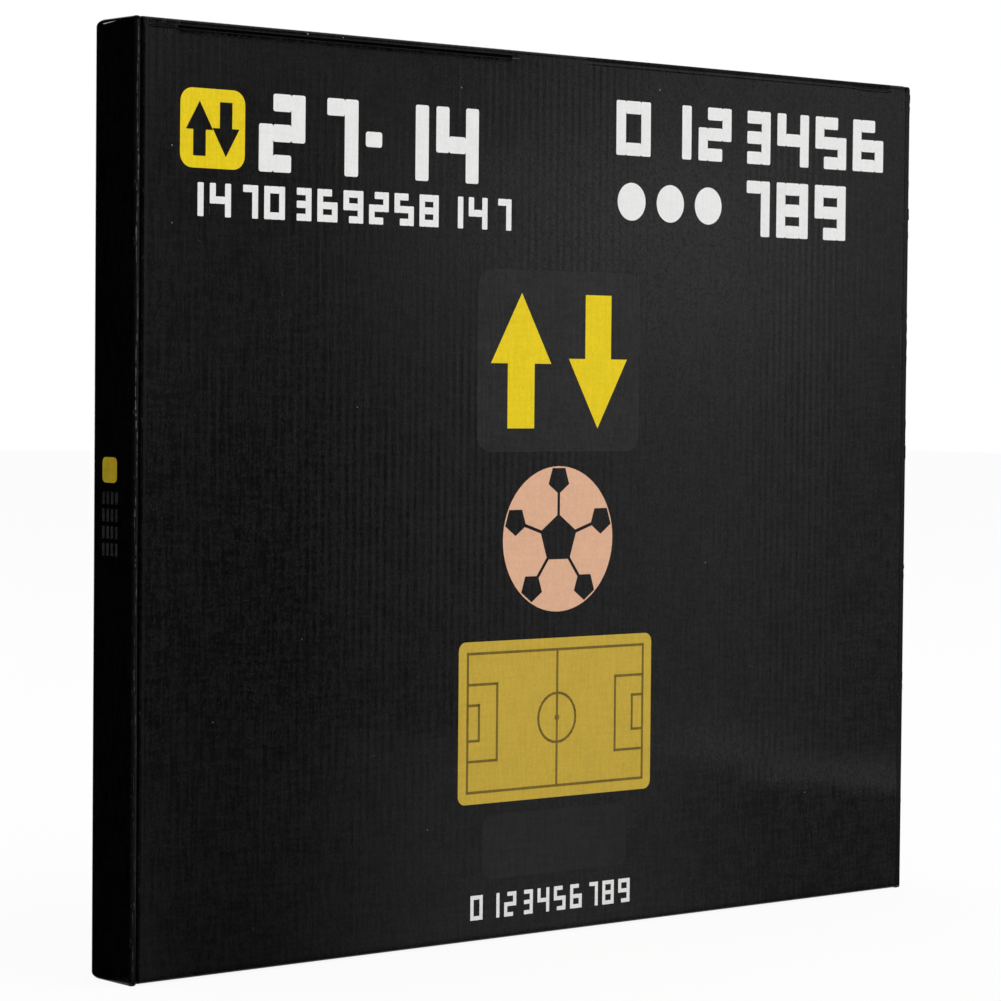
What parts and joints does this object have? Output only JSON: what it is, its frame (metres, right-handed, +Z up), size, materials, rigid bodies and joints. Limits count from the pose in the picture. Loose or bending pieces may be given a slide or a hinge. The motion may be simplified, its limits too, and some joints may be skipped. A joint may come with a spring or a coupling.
{
  "type": "substitution board",
  "caption": "Hand-operated player substitution board in its flat hinged corrugated carton: sliding shutters show a two-digit number on each side.",
  "frame": {"origin": "middle of the carton's footprint, on the surface that the carton stands on", "axes": "+X across the front from left to right as a viewer sees it, +Y from the front to the back, +Z up"},
  "size_m": [0.35, 0.023, 0.302],
  "materials": {
    "carton_print": "black flood print with a soft gloss varnish over fine corrugated board",
    "carton_kraft": "unprinted brown kraft liner",
    "board_black": "fine moulded grain, matt black",
    "shutter_black": "satin dark grey",
    "bright_yellow": "fluorescent yellow sheet, matt",
    "bright_red": "fluorescent red sheet, matt",
    "screw_steel": "zinc plated steel"
  },
  "bodies": {
    "carton_and_frame": {"back_panel": "carton_print", "top_wall": "carton_print", "bottom_wall": "carton_print", "left_wall": "carton_print", "right_wall": "carton_print", "corner_flap_bottom_left": "carton_kraft", "corner_flap_bottom_right": "carton_kraft", "corner_flap_top_left": "carton_kraft", "corner_flap_top_right": "carton_kraft", "frame_rail_top": "board_black", "frame_rail_bottom": "board_black", "frame_rail_left": "board_black", "frame_rail_right": "board_black", "screw_top_left": "screw_steel", "screw_top_right": "screw_steel", "screw_bottom_left": "screw_steel", "screw_bottom_right": "screw_steel", "face_plate_in": "board_black", "face_plate_out": "board_black", "mid_plate_in": "bright_yellow", "mid_plate_out": "bright_red", "reflector_in": "bright_yellow", "reflector_out": "bright_red"},
    "lid": {"lid_panel": "carton_print", "lid_ear_left": "carton_kraft", "lid_ear_right": "carton_kraft"},
    "tuck": {"tuck_flap": "carton_kraft"},
    "shutter_in_tens_a": {"shutter_in_tens_a": "shutter_black"},
    "shutter_in_tens_b": {"shutter_in_tens_b": "shutter_black"},
    "shutter_in_tens_c": {"shutter_in_tens_c": "shutter_black"},
    "shutter_in_tens_d": {"shutter_in_tens_d": "shutter_black"},
    "shutter_in_tens_e": {"shutter_in_tens_e": "shutter_black"},
    "shutter_in_tens_f": {"shutter_in_tens_f": "shutter_black"},
    "shutter_in_tens_g": {"shutter_in_tens_g": "shutter_black"},
    "shutter_in_units_a": {"shutter_in_units_a": "shutter_black"},
    "shutter_in_units_b": {"shutter_in_units_b": "shutter_black"},
    "shutter_in_units_c": {"shutter_in_units_c": "shutter_black"},
    "shutter_in_units_d": {"shutter_in_units_d": "shutter_black"},
    "shutter_in_units_e": {"shutter_in_units_e": "shutter_black"},
    "shutter_in_units_f": {"shutter_in_units_f": "shutter_black"},
    "shutter_in_units_g": {"shutter_in_units_g": "shutter_black"},
    "shutter_out_tens_a": {"shutter_out_tens_a": "shutter_black"},
    "shutter_out_tens_b": {"shutter_out_tens_b": "shutter_black"},
    "shutter_out_tens_c": {"shutter_out_tens_c": "shutter_black"},
    "shutter_out_tens_d": {"shutter_out_tens_d": "shutter_black"},
    "shutter_out_tens_e": {"shutter_out_tens_e": "shutter_black"},
    "shutter_out_tens_f": {"shutter_out_tens_f": "shutter_black"},
    "shutter_out_tens_g": {"shutter_out_tens_g": "shutter_black"},
    "shutter_out_units_a": {"shutter_out_units_a": "shutter_black"},
    "shutter_out_units_b": {"shutter_out_units_b": "shutter_black"},
    "shutter_out_units_c": {"shutter_out_units_c": "shutter_black"},
    "shutter_out_units_d": {"shutter_out_units_d": "shutter_black"},
    "shutter_out_units_e": {"shutter_out_units_e": "shutter_black"},
    "shutter_out_units_f": {"shutter_out_units_f": "shutter_black"},
    "shutter_out_units_g": {"shutter_out_units_g": "shutter_black"}
  },
  "joints": [
    {"name": "lid_hinge", "type": "hinge", "parent": "carton_and_frame", "child": "lid", "pos_m": [0, -0.0115, 0.2997], "axis": [-1, 0, 0], "range_deg": [0, 175]},
    {"name": "tuck_fold", "type": "hinge", "parent": "lid", "child": "tuck", "pos_m": [0, -0.0115, 0.0018], "axis": [-1, 0, 0], "range_deg": [0, 53]},
    {"name": "slide_in_tens_a", "type": "slide", "parent": "carton_and_frame", "child": "shutter_in_tens_a", "axis": [0, 0, -1], "range_m": [-0.032, 0]},
    {"name": "slide_in_tens_b", "type": "slide", "parent": "carton_and_frame", "child": "shutter_in_tens_b", "axis": [-1, 0, 0], "range_m": [-0.032, 0]},
    {"name": "slide_in_tens_c", "type": "slide", "parent": "carton_and_frame", "child": "shutter_in_tens_c", "axis": [-1, 0, 0], "range_m": [0, 0.032]},
    {"name": "slide_in_tens_d", "type": "slide", "parent": "carton_and_frame", "child": "shutter_in_tens_d", "axis": [0, 0, 1], "range_m": [-0.032, 0]},
    {"name": "slide_in_tens_e", "type": "slide", "parent": "carton_and_frame", "child": "shutter_in_tens_e", "axis": [1, 0, 0], "range_m": [-0.032, 0]},
    {"name": "slide_in_tens_f", "type": "slide", "parent": "carton_and_frame", "child": "shutter_in_tens_f", "axis": [1, 0, 0], "range_m": [0, 0.032]},
    {"name": "slide_in_tens_g", "type": "slide", "parent": "carton_and_frame", "child": "shutter_in_tens_g", "axis": [0, 0, 1], "range_m": [-0.032, 0]},
    {"name": "slide_in_units_a", "type": "slide", "parent": "carton_and_frame", "child": "shutter_in_units_a", "axis": [0, 0, -1], "range_m": [-0.032, 0]},
    {"name": "slide_in_units_b", "type": "slide", "parent": "carton_and_frame", "child": "shutter_in_units_b", "axis": [-1, 0, 0], "range_m": [-0.032, 0]},
    {"name": "slide_in_units_c", "type": "slide", "parent": "carton_and_frame", "child": "shutter_in_units_c", "axis": [-1, 0, 0], "range_m": [-0.032, 0]},
    {"name": "slide_in_units_d", "type": "slide", "parent": "carton_and_frame", "child": "shutter_in_units_d", "axis": [0, 0, 1], "range_m": [0, 0.032]},
    {"name": "slide_in_units_e", "type": "slide", "parent": "carton_and_frame", "child": "shutter_in_units_e", "axis": [1, 0, 0], "range_m": [0, 0.032]},
    {"name": "slide_in_units_f", "type": "slide", "parent": "carton_and_frame", "child": "shutter_in_units_f", "axis": [1, 0, 0], "range_m": [0, 0.032]},
    {"name": "slide_in_units_g", "type": "slide", "parent": "carton_and_frame", "child": "shutter_in_units_g", "axis": [0, 0, 1], "range_m": [0, 0.032]},
    {"name": "slide_out_tens_a", "type": "slide", "parent": "carton_and_frame", "child": "shutter_out_tens_a", "axis": [0, 0, -1], "range_m": [0, 0.032]},
    {"name": "slide_out_tens_b", "type": "slide", "parent": "carton_and_frame", "child": "shutter_out_tens_b", "axis": [1, 0, 0], "range_m": [-0.032, 0]},
    {"name": "slide_out_tens_c", "type": "slide", "parent": "carton_and_frame", "child": "shutter_out_tens_c", "axis": [1, 0, 0], "range_m": [-0.032, 0]},
    {"name": "slide_out_tens_d", "type": "slide", "parent": "carton_and_frame", "child": "shutter_out_tens_d", "axis": [0, 0, 1], "range_m": [0, 0.032]},
    {"name": "slide_out_tens_e", "type": "slide", "parent": "carton_and_frame", "child": "shutter_out_tens_e", "axis": [-1, 0, 0], "range_m": [0, 0.032]},
    {"name": "slide_out_tens_f", "type": "slide", "parent": "carton_and_frame", "child": "shutter_out_tens_f", "axis": [-1, 0, 0], "range_m": [0, 0.032]},
    {"name": "slide_out_tens_g", "type": "slide", "parent": "carton_and_frame", "child": "shutter_out_tens_g", "axis": [0, 0, 1], "range_m": [0, 0.032]},
    {"name": "slide_out_units_a", "type": "slide", "parent": "carton_and_frame", "child": "shutter_out_units_a", "axis": [0, 0, -1], "range_m": [0, 0.032]},
    {"name": "slide_out_units_b", "type": "slide", "parent": "carton_and_frame", "child": "shutter_out_units_b", "axis": [1, 0, 0], "range_m": [-0.032, 0]},
    {"name": "slide_out_units_c", "type": "slide", "parent": "carton_and_frame", "child": "shutter_out_units_c", "axis": [1, 0, 0], "range_m": [-0.032, 0]},
    {"name": "slide_out_units_d", "type": "slide", "parent": "carton_and_frame", "child": "shutter_out_units_d", "axis": [0, 0, 1], "range_m": [0, 0.032]},
    {"name": "slide_out_units_e", "type": "slide", "parent": "carton_and_frame", "child": "shutter_out_units_e", "axis": [-1, 0, 0], "range_m": [0, 0.032]},
    {"name": "slide_out_units_f", "type": "slide", "parent": "carton_and_frame", "child": "shutter_out_units_f", "axis": [-1, 0, 0], "range_m": [-0.032, 0]},
    {"name": "slide_out_units_g", "type": "slide", "parent": "carton_and_frame", "child": "shutter_out_units_g", "axis": [0, 0, 1], "range_m": [-0.032, 0]}
  ],
  "couplings": [
    {"joint": "tuck_fold", "follows": "lid_hinge", "ratio": 0.3}
  ]
}
